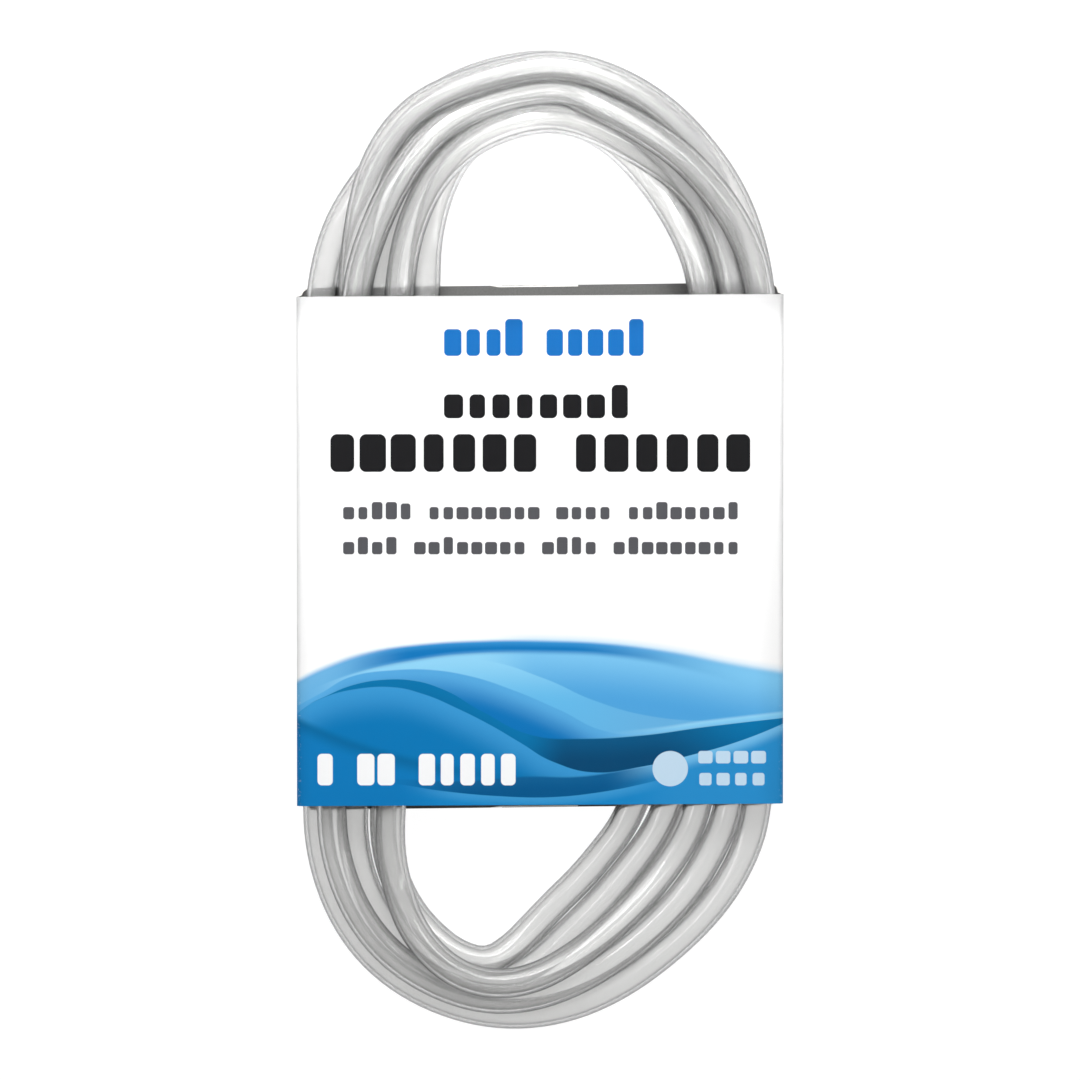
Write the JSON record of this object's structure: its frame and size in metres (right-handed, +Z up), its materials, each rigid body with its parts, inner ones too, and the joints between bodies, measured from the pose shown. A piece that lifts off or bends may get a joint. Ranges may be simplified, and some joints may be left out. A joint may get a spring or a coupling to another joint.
{
  "type": "airline tubing hank",
  "caption": "Oblong hank of clear flexible air tubing, held round its middle by a folded paperboard sleeve.",
  "frame": {"origin": "on the surface that the sleeve's back panel rests on, under the middle of the hank", "axes": "+Z up, out of the sleeve's printed front; +Y along the hank, towards the rounder end of its loop; +X to the right of the printed front"},
  "size_m": [0.1016, 0.2056, 0.0184],
  "materials": {
    "clear_vinyl": "gloss",
    "printed_board": "satin",
    "glue": "satin"
  },
  "bodies": {
    "tubing": {"airline_tubing": "clear_vinyl"},
    "sleeve": {"card_sleeve": "printed_board", "glue_strip": "glue"}
  },
  "joints": [
    {"name": "sleeve_slide", "type": "slide", "parent": "tubing", "child": "sleeve", "axis": [0, 1, 0], "range_m": [-0.16, 0.16]}
  ]
}
